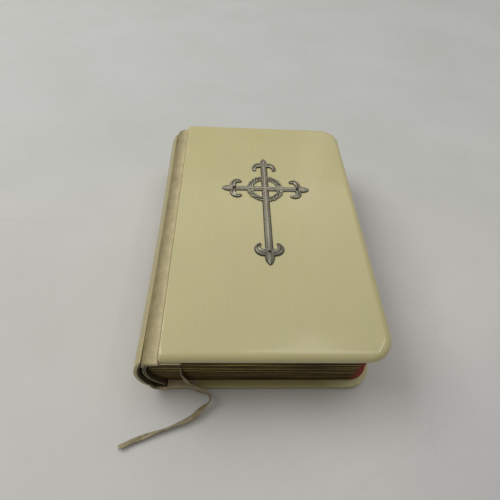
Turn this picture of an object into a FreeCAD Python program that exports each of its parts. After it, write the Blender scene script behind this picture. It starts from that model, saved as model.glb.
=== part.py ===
import FreeCAD, Part
import math
import os
import Sketcher
from FreeCAD import Placement, Rotation, Vector

# A vest-pocket prayer book lying on its back cover, in millimetres.
# +X runs from the spine to the fore-edge, +Y from the tail to the head, +Z up.
# Pieces are drawn in book coordinates, with X = 0 at the boards' spine edge and Y = 0 at their tail
# edge. Placements then move them, so that the origin is the centre of the footprint, on the ground.

doc = FreeCAD.newDocument("PrayerBook")
sheet = doc.addObject("Spreadsheet::Sheet", "dims")

DRIVING_DIMENSIONS = {
    "board_width": 69.7,
    "board_height": 115.0,
    "board_thickness": 2.8,
    "board_corner": 8.5,
    "board_round": 2.4,
    "book_thickness": 27.8,
    "spine_bulge": 8.9,
    "spine_radius": 17.7,
    "spine_half_height": 9.4,
    "plate_thickness": 1.1,
    "plate_tail": 0.8,
    "plate_length": 112.8,
    "leather_thickness": 0.5,
    "leather_tail": 0.5,
    "leather_length": 112.0,
    "flap_thickness": 0.4,
    "flap_width": 10.2,
    "flap_start": 0.15,
    "flap_margin": 0.3,
    "lining_thickness": 0.2,
    "lining_gap": 0.25,
    "leaf_thickness": 0.2,
    "leaf_fold": 1.2,
    "block_tail": 2.6,
    "block_height": 109.8,
    "block_corner": 6.3,
    "block_bottom": 3.75,
    "section_thickness": 1.667,
    "fore_edge": 68.3,
    "fore_edge_hollow": 1.2,
    "back_centre": 6.85,
    "back_level": 14.5,
    "back_radius": 11.3,
    "fold_rounding": 0.733,
    "liner_inner": 12.2,
    "liner_outer": 13.05,
    "liner_tail": 1.1,
    "marker_gap": 0.3,
    "ribbon_width": 2.2,
    "ribbon_thickness": 0.15,
    "cross_x": 33.85,
    "cross_y": 71.4,
    "bar_width": 2.8,
    "bar_edge": 0.4,
    "bar_ridge": 0.85,
    "ridge_width": 1.5,
    "ornament_thickness": 0.6,
    "ring_radius": 6.1,
    "ring_width": 2.4,
    "ring_thickness": 0.6,
    "pin_diameter": 0.8,
    "pin_depth": 1.6,
}
LOWER_SECTIONS = 7
UPPER_SECTIONS = 5

for row, (alias, value) in enumerate(DRIVING_DIMENSIONS.items(), start=1):
    sheet.set(f"A{row}", alias)
    sheet.set(f"B{row}", str(value))
    sheet.setAlias(f"B{row}", alias)
doc.recompute()


def dim(alias):
    return float(sheet.get(alias))


# Levels and places that follow from the driving dimensions.
LEFT = "(dims.spine_bulge - dims.board_width) / 2"
TAIL = "-dims.board_height / 2"
SHIFT = Vector((dim("spine_bulge") - dim("board_width")) / 2, -dim("board_height") / 2, 0)
MARKER_LEVEL = dim("block_bottom") + LOWER_SECTIONS * dim("section_thickness")
UPPER_LEVEL = MARKER_LEVEL + dim("marker_gap")
BLOCK_TOP = UPPER_LEVEL + UPPER_SECTIONS * dim("section_thickness")
MARKER_EXPR = f"dims.block_bottom + {LOWER_SECTIONS} * dims.section_thickness"
PIVOT_CLEARANCE = 0.07

nodes = []


def keep(piece, label):
    """Gives a finished piece the name of its file."""
    piece.Label = label
    nodes.append(piece)
    return piece


def place(piece, x="0", y="0", z="0"):
    """Sets a piece at a spot in book coordinates."""
    piece.setExpression("Placement.Base.x", f"{LEFT} + {x}")
    piece.setExpression("Placement.Base.y", f"{TAIL} + {y}")
    piece.setExpression("Placement.Base.z", z)


# ---------------------------------------------------------------- sketch and feature helpers

def new_body(name):
    return doc.addObject("PartDesign::Body", name)


def new_sketch(body, name, role):
    sketch = body.newObject("Sketcher::SketchObject", name)
    plane = next(feature for feature in body.Origin.OriginFeatures if feature.Role == role)
    sketch.AttachmentSupport = [(plane, "")]
    sketch.MapMode = "FlatFace"
    return sketch


def bind(sketch, constraint, expression):
    """Adds a dimension to a sketch and ties it to the sheet."""
    index = sketch.addConstraint(constraint)
    sketch.setExpression(f"Constraints[{index}]", expression)


def draw_leaf(sketch, width, height, corner, width_expr, height_expr, corner_expr):
    """A page outline: square at the spine, rounded at both fore-edge corners."""
    turn = corner * (1 - math.sqrt(0.5))
    corners = [
        Part.LineSegment(Vector(0, 0, 0), Vector(width - corner, 0, 0)),
        Part.Arc(Vector(width - corner, 0, 0), Vector(width - turn, turn, 0), Vector(width, corner, 0)),
        Part.LineSegment(Vector(width, corner, 0), Vector(width, height - corner, 0)),
        Part.Arc(Vector(width, height - corner, 0), Vector(width - turn, height - turn, 0),
                 Vector(width - corner, height, 0)),
        Part.LineSegment(Vector(width - corner, height, 0), Vector(0, height, 0)),
        Part.LineSegment(Vector(0, height, 0), Vector(0, 0, 0)),
    ]
    tail, tail_arc, fore, head_arc, head, spine = sketch.addGeometry(corners, False)
    for first, second in ((tail, tail_arc), (tail_arc, fore), (fore, head_arc), (head_arc, head)):
        sketch.addConstraint(Sketcher.Constraint("Tangent", first, 2, second, 1))
    sketch.addConstraint(Sketcher.Constraint("Coincident", head, 2, spine, 1))
    sketch.addConstraint(Sketcher.Constraint("Coincident", spine, 2, tail, 1))
    sketch.addConstraint(Sketcher.Constraint("Coincident", tail, 1, -1, 1))
    sketch.addConstraint(Sketcher.Constraint("Horizontal", tail))
    sketch.addConstraint(Sketcher.Constraint("Horizontal", head))
    sketch.addConstraint(Sketcher.Constraint("Vertical", spine))
    sketch.addConstraint(Sketcher.Constraint("Vertical", fore))
    sketch.addConstraint(Sketcher.Constraint("Equal", tail_arc, head_arc))
    bind(sketch, Sketcher.Constraint("Radius", tail_arc, corner), corner_expr)
    bind(sketch, Sketcher.Constraint("DistanceX", tail, 1, fore, 1, width), width_expr)
    bind(sketch, Sketcher.Constraint("DistanceY", spine, 2, spine, 1, height), height_expr)


def draw_outline(sketch, start, steps):
    """A closed outline. A step is an end point, or a pair: a point on the arc and its end point."""
    here = start
    joins = []
    for step in steps:
        is_arc = isinstance(step[0], tuple)
        end = step[1] if is_arc else step
        first, last = Vector(*here, 0), Vector(*end, 0)
        edge = Part.Arc(first, Vector(*step[0], 0), last) if is_arc else Part.LineSegment(first, last)
        index = sketch.addGeometry(edge, False)
        starts_here = sketch.getPoint(index, 1).distanceToPoint(first) < 1e-6
        joins.append((index, 1, 2) if starts_here else (index, 2, 1))
        here = end
    for (one, _, one_end), (two, two_start, _) in zip(joins, joins[1:] + joins[:1]):
        sketch.addConstraint(Sketcher.Constraint("Coincident", one, one_end, two, two_start))


def pad(body, sketch, length_expr, reverse=False):
    feature = body.newObject("PartDesign::Pad", f"{sketch.Name}Pad")
    feature.Profile = sketch
    feature.Reversed = reverse
    feature.setExpression("Length", length_expr)
    doc.recompute()
    return feature


def fillet(body, feature, radius_expr, wanted):
    """Rounds the edges for which wanted(edge) is true."""
    names = [f"Edge{i}" for i, edge in enumerate(feature.Shape.Edges, start=1) if wanted(edge)]
    rounding = body.newObject("PartDesign::Fillet", f"{feature.Name}Round")
    rounding.Base = (feature, names)
    rounding.setExpression("Radius", radius_expr)
    doc.recompute()
    return rounding


def mirrored(steps_start, steps, level):
    """The same outline, upside down about a level."""
    def flip(point):
        return (point[0], 2 * level - point[1])
    flipped = [(flip(s[0]), flip(s[1])) if isinstance(s[0], tuple) else flip(s) for s in steps]
    return flip(steps_start), flipped


# ---------------------------------------------------------------- covers

def drill_holes(body, feature, depth_expr, centres):
    """Blind holes for the cross's pins, down from the top of the piece."""
    before = feature.Shape.Volume
    sketch = new_sketch(body, f"{body.Name}Holes", "XY_Plane")
    top = feature.Shape.BoundBox.ZMax
    sketch.AttachmentOffset = Placement(Vector(0, 0, top), Rotation())
    for x, y in centres:
        circle = Part.Circle(Vector(x, y, 0), Vector(0, 0, 1), dim("pin_diameter") / 2)
        index = sketch.addGeometry(circle, False)
        bind(sketch, Sketcher.Constraint("Diameter", index, dim("pin_diameter")), "dims.pin_diameter")
    pocket = body.newObject("PartDesign::Pocket", f"{body.Name}Pocket")
    pocket.Profile = sketch
    pocket.setExpression("Length", depth_expr)
    doc.recompute()
    if pocket.Shape.Volume >= before - 0.1:
        raise SystemExit(f"{body.Name}: the pin holes cut nothing")


def pin_places():
    """The four pins, one at the root of each arm's end ornament, about the crossing."""
    return [(-12.4, 0.0), (12.9, 0.0), (0.0, -32.7), (0.0, 14.2)]


def make_board(label, on_top):
    """A moulded board, rounded all round on its outer face except along the spine."""
    body = new_body(label)
    outline = new_sketch(body, f"{label}_outline", "XY_Plane")
    draw_leaf(outline, dim("board_width"), dim("board_height"), dim("board_corner"),
              "dims.board_width", "dims.board_height", "dims.board_corner")
    slab = pad(body, outline, "dims.board_thickness")
    outer = dim("board_thickness") if on_top else 0.0

    def is_outer_rim(edge):
        box = edge.BoundBox
        flat = abs(box.ZMin - outer) < 1e-6 and abs(box.ZMax - outer) < 1e-6
        return flat and box.XMax > 1e-6

    rounded = fillet(body, slab, "dims.board_round", is_outer_rim)
    if on_top:
        centres = [(dim("cross_x") + x, dim("cross_y") + y) for x, y in pin_places()]
        drill_holes(body, rounded, "dims.pin_depth", centres)
    place(body, z="dims.book_thickness - dims.board_thickness" if on_top else "0")
    return keep(body, label)


def make_flap(label, level_expr):
    """The wing of the liner glued inside a board along its spine edge, its ends cut at a slant."""
    body = new_body(label)
    wide, high, slant = dim("flap_width"), dim("board_height") - 2 * dim("flap_margin"), 1.3
    outline = new_sketch(body, f"{label}_outline", "XY_Plane")
    draw_outline(outline, (0, 0), [(wide - slant, 0), (wide, 2 * slant), (wide, high - 2 * slant),
                                   (wide - slant, high), (0, high), (0, 0)])
    pad(body, outline, "dims.flap_thickness")
    place(body, "dims.flap_start", "dims.flap_margin", level_expr)
    return keep(body, label)


def make_lining(label, level_expr):
    """The paper pasted inside a board, trimmed to meet the flap."""
    body = new_body(label)
    start_expr = "dims.flap_start + dims.flap_width + dims.lining_gap"
    start = dim("flap_start") + dim("flap_width") + dim("lining_gap")
    outline = new_sketch(body, f"{label}_outline", "XY_Plane")
    draw_leaf(outline, dim("fore_edge") - start, dim("block_height"), dim("block_corner"),
              f"dims.fore_edge - ({start_expr})", "dims.block_height", "dims.block_corner")
    pad(body, outline, "dims.lining_thickness")
    place(body, start_expr, "dims.block_tail", level_expr)
    return keep(body, label)


def make_flyleaf(label, level_expr):
    """The free endleaf between the text block and a cover."""
    body = new_body(label)
    outline = new_sketch(body, f"{label}_outline", "XY_Plane")
    draw_leaf(outline, dim("fore_edge") - dim("leaf_fold"), dim("block_height"), dim("block_corner"),
              "dims.fore_edge - dims.leaf_fold", "dims.block_height", "dims.block_corner")
    pad(body, outline, "dims.leaf_thickness")
    place(body, "dims.leaf_fold", "dims.block_tail", level_expr)
    return keep(body, label)


# ---------------------------------------------------------------- text block

def back_at(level, radius):
    """Where a round of the given radius about the block's back lies at a level."""
    return dim("back_centre") - math.sqrt(radius ** 2 - (level - dim("back_level")) ** 2)


def fold_at(level):
    """Where the rounded fold of a gathering touches the round of the block's back."""
    rounding = dim("fold_rounding")
    flat_half = dim("section_thickness") / 2 - rounding
    rise = abs(level - dim("back_level")) + flat_half
    return dim("back_centre") - math.sqrt((dim("back_radius") - rounding) ** 2 - rise ** 2) - rounding


def make_section(number):
    """One folded gathering: its fold follows the rounded back, its front the hollow fore-edge."""
    label = f"section_{number + 1:02d}"
    upper = number >= LOWER_SECTIONS
    bottom = dim("block_bottom") + number * dim("section_thickness") + upper * dim("marker_gap")
    middle = bottom + dim("section_thickness") / 2
    fold = fold_at(middle)
    reach = (middle - dim("block_bottom")) / (BLOCK_TOP - dim("block_bottom"))
    hollow = 4 * reach * (1 - reach)
    body = new_body(label)
    outline = new_sketch(body, f"{label}_outline", "XY_Plane")
    width = dim("fore_edge") - hollow * dim("fore_edge_hollow") - fold
    draw_leaf(outline, width, dim("block_height"), dim("block_corner"),
              f"dims.fore_edge - {hollow} * dims.fore_edge_hollow - {fold}",
              "dims.block_height", "dims.block_corner")
    leaves = pad(body, outline, "dims.section_thickness")
    fillet(body, leaves, "dims.fold_rounding",
           lambda edge: edge.BoundBox.XMax < 1e-6 and edge.BoundBox.YLength > 1)
    level = f"dims.block_bottom + {number} * dims.section_thickness"
    place(body, f"{fold}", "dims.block_tail", f"{level} + dims.marker_gap" if upper else level)
    return keep(body, label)


def back_band(inner, outer, low, high, tail, length):
    """A strip curved round the block's back, between two levels."""
    middle = (low + high) / 2
    radii = (outer, inner)
    points = [[Vector(back_at(z, r), tail, z) for z in (low, middle, high)] for r in radii]
    outside = Part.Arc(*points[0]).toShape()
    inside = Part.Arc(*points[1]).toShape()
    edges = [outside, Part.makeLine(points[0][2], points[1][2]), inside,
             Part.makeLine(points[1][0], points[0][0])]
    face = Part.Face(Part.Wire(Part.__sortEdges__(edges)))
    return face.extrude(Vector(0, length, 0))


def make_liner(label, low, high):
    """The leather that lines the rounded back of the block."""
    body = new_body(label)
    outline = new_sketch(body, f"{label}_profile", "XZ_Plane")
    middle = (low + high) / 2
    outer = [(back_at(z, dim("liner_outer")), z) for z in (low, middle, high)]
    inner = [(back_at(z, dim("liner_inner")), z) for z in (high, middle, low)]
    draw_outline(outline, outer[0], [(outer[1], outer[2]), inner[0], (inner[1], inner[2]), outer[0]])
    pad(body, outline, "dims.leather_length", reverse=True)
    place(body, y="dims.liner_tail")
    return keep(body, label)


def make_group(label, shapes):
    """Several like solids that share one node."""
    group = doc.addObject("Part::Feature", label)
    group.Shape = Part.makeCompound(shapes)
    group.Placement = Placement(SHIFT, Rotation())
    return keep(group, label)


TAPE_CENTRES = (22.0, 57.5, 93.0)
TAPE_WIDTH = 7.0
TAPE_THICKNESS = 0.25
TAPE_CLEARANCE = 0.1
STITCH_RADIUS = 0.16
STITCH_CLEARANCE = 0.03
STITCH_OVERRUN = 0.4


def make_tapes(label, low, high):
    """The tapes that the gatherings are sewn on."""
    inner = dim("back_radius") + TAPE_CLEARANCE
    shapes = [back_band(inner, inner + TAPE_THICKNESS, low, high, y - TAPE_WIDTH / 2, TAPE_WIDTH)
              for y in TAPE_CENTRES]
    make_group(label, shapes)


def make_thread(label, numbers):
    """A stitch over each tape at the fold of each gathering."""
    tape_face = dim("back_radius") + TAPE_CLEARANCE + TAPE_THICKNESS
    distance = tape_face + STITCH_CLEARANCE + STITCH_RADIUS
    length = TAPE_WIDTH + 2 * STITCH_OVERRUN
    stitches = []
    for number in numbers:
        upper = number >= LOWER_SECTIONS
        level = dim("block_bottom") + (number + 0.5) * dim("section_thickness") + upper * dim("marker_gap")
        x = back_at(level, distance)
        for y in TAPE_CENTRES:
            start = Vector(x, y - length / 2, level)
            stitches.append(Part.makeCylinder(STITCH_RADIUS, length, start, Vector(0, 1, 0)))
    make_group(label, stitches)


# ---------------------------------------------------------------- spine and joints

def make_spine_shell(label, outer_radius, thickness_expr, half_height, tail_expr, length_expr):
    """A shell curved about the spine's centre line, its ends square to the curve."""
    body = new_body(label)
    profile = new_sketch(body, f"{label}_profile", "XZ_Plane")
    centre = dim("spine_radius") - dim("spine_bulge")
    level = dim("book_thickness") / 2
    inner_radius = outer_radius - dim(thickness_expr)
    angle = math.asin(half_height / dim("spine_radius"))

    def spot(radius, turn):
        return (centre - radius * math.cos(turn), level + radius * math.sin(turn))

    draw_outline(profile, spot(outer_radius, -angle),
                 [(spot(outer_radius, 0), spot(outer_radius, angle)), spot(inner_radius, angle),
                  (spot(inner_radius, 0), spot(inner_radius, -angle)), spot(outer_radius, -angle)])
    pad(body, profile, f"dims.{length_expr}", reverse=True)
    place(body, y=f"dims.{tail_expr}")
    return keep(body, label)


def make_joint_leather(label, on_top):
    """The strip that bends between the spine plate and a board's edge."""
    thickness = dim("book_thickness")
    start = (-5.15, thickness - 4.85)
    steps = [((-4.35, thickness - 2.75), (-2.4, thickness - 1.4)), (-0.06, thickness - 1.3),
             (-0.06, thickness - 2.05), (-2.1, thickness - 2.15),
             ((-3.75, thickness - 3.3), (-4.65, thickness - 5.15)), start]
    if not on_top:
        start, steps = mirrored(start, steps, thickness / 2)
    body = new_body(label)
    profile = new_sketch(body, f"{label}_profile", "XZ_Plane")
    draw_outline(profile, start, steps)
    pad(body, profile, "dims.leather_length", reverse=True)
    place(body, y="dims.leather_tail")
    return keep(body, label)


# ---------------------------------------------------------------- cross

def ridged_bar(body, name, role, half_width, low, high, reverse):
    """A bar with bevelled sides and a flat ridge, from low to high along its length."""
    sketch = new_sketch(body, name, role)
    sketch.AttachmentOffset = Placement(Vector(0, 0, -low if role == "XZ_Plane" else low), Rotation())
    edge, ridge, ridge_half = dim("bar_edge"), dim("bar_ridge"), dim("ridge_width") / 2
    draw_outline(sketch, (-half_width, 0), [(half_width, 0), (half_width, edge), (ridge_half, ridge),
                                            (-ridge_half, ridge), (-half_width, edge), (-half_width, 0)])
    pad(body, sketch, f"{high - low}", reverse=reverse)


def ornament(body, name, root, direction, tip):
    """A leaf tip and two curled hooks at the end of an arm."""
    out = Vector(*direction, 0)
    side = Vector(-direction[1], direction[0], 0)

    def spot(along, across):
        point = Vector(*root, 0) + out * along + side * across
        return (point.x, point.y)

    leaf = new_sketch(body, f"{name}_leaf", "XY_Plane")
    draw_outline(leaf, spot(-0.8, 0.9), [(spot(0.45 * tip, 1.25), spot(tip, 0)),
                                         (spot(0.45 * tip, -1.25), spot(-0.8, -0.9)), spot(-0.8, 0.9)])
    pad(body, leaf, "dims.ornament_thickness")
    for hand in (1, -1):
        hook = new_sketch(body, f"{name}_hook{'A' if hand > 0 else 'B'}", "XY_Plane")
        draw_outline(hook, spot(0.9, 0.6 * hand),
                     [(spot(-0.1, 4.75 * hand), spot(-3.5, 4.15 * hand)), spot(-3.3, 3.1 * hand),
                      (spot(-1.3, 3.25 * hand), spot(-0.6, 0.6 * hand)), spot(0.9, 0.6 * hand)])
        pad(body, hook, "dims.ornament_thickness")


def make_cross():
    """The silver cross: two ridged bars with a flowered end on each arm."""
    body = new_body("cross")
    half = dim("bar_width") / 2
    ridged_bar(body, "upright", "XZ_Plane", half, -32.6, 15.2, True)
    ridged_bar(body, "crossbar", "YZ_Plane", half, -12.8, 13.2, False)
    ornament(body, "head_end", (0, 14.9), (0, 1), 3.8)
    ornament(body, "foot_end", (0, -32.3), (0, -1), 6.0)
    ornament(body, "spine_end", (-12.6, 0), (-1, 0), 4.8)
    ornament(body, "fore_end", (12.9, 0), (1, 0), 5.0)
    drill_holes(body, body.Tip, "dims.bar_ridge", pin_places())
    place(body, "dims.cross_x", "dims.cross_y", "dims.book_thickness")
    return keep(body, "cross")


def make_thorn_ring():
    """The crown of thorns round the crossing, a flat band broken where the bars pass."""
    band = doc.addObject("Part::Cylinder", "ring_disc")
    band.setExpression("Radius", "dims.ring_radius + dims.ring_width / 2")
    band.setExpression("Height", "dims.ring_thickness")
    hole = doc.addObject("Part::Cylinder", "ring_hole")
    hole.setExpression("Radius", "dims.ring_radius - dims.ring_width / 2")
    hole.setExpression("Height", "dims.ring_thickness")
    bars = []
    for name, long, wide in (("ring_slot_x", 20, dim("bar_width")), ("ring_slot_y", dim("bar_width"), 20)):
        slot = doc.addObject("Part::Box", name)
        slot.Length, slot.Width, slot.Height = long, wide, 4
        slot.Placement.Base = Vector(-long / 2, -wide / 2, -2)
        bars.append(slot)
    tool = doc.addObject("Part::MultiFuse", "ring_tool")
    tool.Shapes = bars + [hole]
    ring = doc.addObject("Part::Cut", "thorn_ring")
    ring.Base, ring.Tool = band, tool
    place(ring, "dims.cross_x", "dims.cross_y", "dims.book_thickness")
    return keep(ring, "thorn_ring")


def make_pins():
    """Four pins with domed heads that hold the cross on the board."""
    radius, depth = dim("pin_diameter") / 2, dim("pin_depth")
    pins = []
    for x, y in pin_places():
        foot = Vector(dim("cross_x") + x, dim("cross_y") + y, dim("book_thickness") - depth)
        shank = Part.makeCylinder(radius, depth + dim("bar_ridge"), foot)
        head = Part.makeSphere(radius, foot + Vector(0, 0, depth + dim("bar_ridge")))
        pins.append(shank.fuse(head).removeSplitter())
    make_group("cross_pins", pins)


# ---------------------------------------------------------------- ribbon

RIBBON_EXIT = (5.3, 2.45, 15.5)
RIBBON_ROUTE = [
    RIBBON_EXIT, (5.35, 1.1, 15.45), (5.5, -0.1, 14.75), (5.8, -0.75, 13.45), (6.3, -0.75, 11.2),
    (7.0, -0.4, 8.4), (8.1, -0.4, 5.7), (9.7, -1.3, 4.0), (11.6, -1.8, 3.0), (13.5, -2.1, 2.5),
    (14.9, -3.3, 2.4), (15.3, -5.2, 2.5), (14.2, -6.8, 2.4), (12.0, -7.9, 2.2), (8.9, -9.2, 1.7),
    (5.4, -10.3, 1.3), (1.5, -11.6, 1.2), (-2.4, -12.7, 1.15), (-6.2, -14.3, 1.15), (-9.8, -15.3, 1.15),
    (-13.0, -17.0, 1.15),
]


def route_wire(points):
    """Straight runs joined by tangent arcs, each as large as its two runs allow."""
    edges = []
    radii = []
    start = points[0]
    for before, corner, after in zip(points, points[1:], points[2:]):
        arrive = (corner - before).normalize()
        leave = (after - corner).normalize()
        setback = 0.45 * min((corner - before).Length, (after - corner).Length)
        half_turn = arrive.getAngle(leave) / 2
        radii.append(setback / math.tan(half_turn))
        enter, depart = corner - arrive * setback, corner + leave * setback
        inward = (leave - arrive).normalize()
        middle = corner + inward * (radii[-1] / math.cos(half_turn) - radii[-1])
        edges.append(Part.LineSegment(start, enter).toShape())
        edges.append(Part.Arc(enter, middle, depart).toShape())
        start = depart
    edges.append(Part.LineSegment(start, points[-1]).toShape())
    return Part.Wire(edges), radii


def make_ribbon_tail():
    """The free end of the marker, as a plain tube as thick as the ribbon is wide."""
    points = [Vector(*point) for point in RIBBON_ROUTE]
    wire, radii = route_wire(points)
    radius = dim("ribbon_width") / 2
    section = Part.Wire(Part.makeCircle(radius, points[0], (points[1] - points[0]).normalize()))
    tube = Part.BRepOffsetAPI.MakePipeShell(wire)
    tube.add(section)
    tube.build()
    tube.makeSolid()
    solid = tube.shape()
    expected = math.pi * radius ** 2 * wire.Length
    print(f"ribbon tail: length {wire.Length:.1f} mm, volume {solid.Volume / expected:.3f} of section x length")
    print("ribbon tail radii, mm:", " ".join(f"{value:.1f}" for value in radii))
    tail = doc.addObject("Part::Feature", "ribbon_tail")
    tail.Shape = solid
    tail.Placement = Placement(SHIFT, Rotation())
    return keep(tail, "ribbon_tail")


def make_ribbon_marker():
    """The stretch of ribbon laid between the leaves, from the head of the back to the tail."""
    body = new_body("ribbon_marker")
    half = dim("ribbon_width") / 2
    head_x, head_y = -2.2, dim("block_tail") + dim("block_height") - 0.1
    outline = new_sketch(body, "ribbon_marker_outline", "XY_Plane")
    tail_x, tail_y = RIBBON_EXIT[0], dim("block_tail") + 0.05
    draw_outline(outline, (tail_x - half, tail_y), [(tail_x + half, tail_y), (head_x + half, head_y),
                                                    (head_x - half, head_y), (tail_x - half, tail_y)])
    pad(body, outline, "dims.ribbon_thickness")
    place(body, z=MARKER_EXPR)
    return keep(body, "ribbon_marker")


# ---------------------------------------------------------------- the whole book

FLAP_TOP_LEVEL = "dims.book_thickness - dims.board_thickness - dims.flap_thickness"
LINING_TOP_LEVEL = "dims.book_thickness - dims.board_thickness - dims.lining_thickness"

make_board("back_board", on_top=False)
make_flap("back_hinge_flap", "dims.board_thickness")
make_lining("back_lining", "dims.board_thickness")
make_flyleaf("back_flyleaf", "dims.board_thickness + dims.flap_thickness + 0.2")
for index in range(LOWER_SECTIONS + UPPER_SECTIONS):
    make_section(index)
LINER_LOW, LINER_HIGH = 4.2, 24.2
make_liner("liner_lower", LINER_LOW, UPPER_LEVEL - 2 * PIVOT_CLEARANCE)
make_liner("liner_upper", UPPER_LEVEL, LINER_HIGH)
make_tapes("tapes_lower", 5.5, MARKER_LEVEL - PIVOT_CLEARANCE)
make_tapes("tapes_upper", UPPER_LEVEL + PIVOT_CLEARANCE, 23.2)
make_thread("thread_lower", range(1, LOWER_SECTIONS))
make_thread("thread_upper", range(LOWER_SECTIONS, LOWER_SECTIONS + UPPER_SECTIONS - 1))
make_ribbon_marker()
make_ribbon_tail()
make_spine_shell("spine_plate", dim("spine_radius"), "plate_thickness", dim("spine_half_height"),
                 "plate_tail", "plate_length")
make_spine_shell("spine_leather", dim("spine_radius") - dim("plate_thickness"), "leather_thickness",
                 dim("spine_half_height"), "leather_tail", "leather_length")
make_joint_leather("front_joint_leather", on_top=True)
make_joint_leather("back_joint_leather", on_top=False)
make_flyleaf("front_flyleaf", f"{FLAP_TOP_LEVEL} - 0.2 - dims.leaf_thickness")
make_lining("front_lining", LINING_TOP_LEVEL)
make_flap("front_hinge_flap", FLAP_TOP_LEVEL)
make_board("front_board", on_top=True)
make_cross()
make_thorn_ring()
make_pins()
doc.recompute()

for item in doc.Objects:
    if "Invalid" in item.State or "Error" in item.State:
        raise SystemExit(f"{item.Name} failed to build: {item.State}")
for node in nodes:
    if node.Shape.isNull() or not node.Shape.isValid():
        raise SystemExit(f"{node.Label} has no valid shape")

os.makedirs("parts", exist_ok=True)
for node in nodes:
    node.Shape.exportStep(f"parts/{node.Label}.step")
    print(f"{node.Label}: {len(node.Shape.Solids)} solids, {node.Shape.Volume:.1f} mm3")
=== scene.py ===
import math
import random

import bmesh
import bpy
from mathutils import Matrix, Vector, noise


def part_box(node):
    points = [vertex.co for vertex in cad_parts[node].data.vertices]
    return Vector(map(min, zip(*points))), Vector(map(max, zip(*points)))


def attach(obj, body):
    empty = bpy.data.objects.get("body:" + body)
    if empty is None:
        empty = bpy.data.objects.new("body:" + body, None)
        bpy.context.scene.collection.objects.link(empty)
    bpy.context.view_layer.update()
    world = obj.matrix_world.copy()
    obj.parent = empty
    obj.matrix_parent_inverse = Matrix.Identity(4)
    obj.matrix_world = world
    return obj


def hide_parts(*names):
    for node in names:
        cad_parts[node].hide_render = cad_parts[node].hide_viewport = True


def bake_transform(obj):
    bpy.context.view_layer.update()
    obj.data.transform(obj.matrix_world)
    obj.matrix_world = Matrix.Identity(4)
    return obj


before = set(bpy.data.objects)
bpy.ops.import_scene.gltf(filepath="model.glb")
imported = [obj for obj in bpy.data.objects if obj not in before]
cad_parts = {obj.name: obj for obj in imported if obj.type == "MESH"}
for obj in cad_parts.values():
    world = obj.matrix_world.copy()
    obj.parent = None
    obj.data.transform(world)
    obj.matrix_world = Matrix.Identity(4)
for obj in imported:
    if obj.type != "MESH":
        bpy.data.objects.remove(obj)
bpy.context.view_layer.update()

MM = 0.001

# Book coordinates, in millimetres: X = 0 at the boards' spine edge, Y = 0 at their tail edge, Z = 0
# under the back cover.
BOARD_LOW, BOARD_HIGH = (Vector(corner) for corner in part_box("back_board"))
FRONT_HIGH = Vector(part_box("front_board")[1])
WIDTH = (BOARD_HIGH.x - BOARD_LOW.x) / MM
HEIGHT = (BOARD_HIGH.y - BOARD_LOW.y) / MM
THICK = FRONT_HIGH.z / MM
BOARD = BOARD_HIGH.z / MM
CROSS = Vector((33.85, 71.4, THICK))
# A wave texture's bands are this far apart at a scale of 1.
WAVE_PITCH = 0.314


def at(x, y, z):
    """A point in book coordinates, as a place in the row frame, in metres."""
    return Vector((BOARD_LOW.x + x * MM, BOARD_LOW.y + y * MM, z * MM))


def book_box(node):
    """A CAD node's lowest and highest corners in book coordinates."""
    low, high = (Vector(corner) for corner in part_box(node))
    origin = Vector((BOARD_LOW.x, BOARD_LOW.y, 0))
    return (low - origin) / MM, (high - origin) / MM


# ---------------------------------------- camera


def make_camera():
    """Close, from above the tail edge and a little to the left."""
    data = bpy.data.cameras.new("camera")
    data.lens = 27.128
    data.sensor_width = 36.0
    data.clip_start = 0.005
    data.clip_end = 20.0
    camera = bpy.data.objects.new("camera", data)
    right = Vector((0.99803, -0.02268, 0.05855))
    up = Vector((-0.01887, 0.78107, 0.62417))
    back = right.cross(up)
    turn = Matrix((right, up, back)).transposed().to_4x4()
    camera.matrix_world = Matrix.Translation(at(19.124, -42.583, 130.601)) @ turn
    bpy.context.scene.collection.objects.link(camera)
    bpy.context.scene.camera = camera


make_camera()

# ---------------------------------------- material helpers


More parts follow.
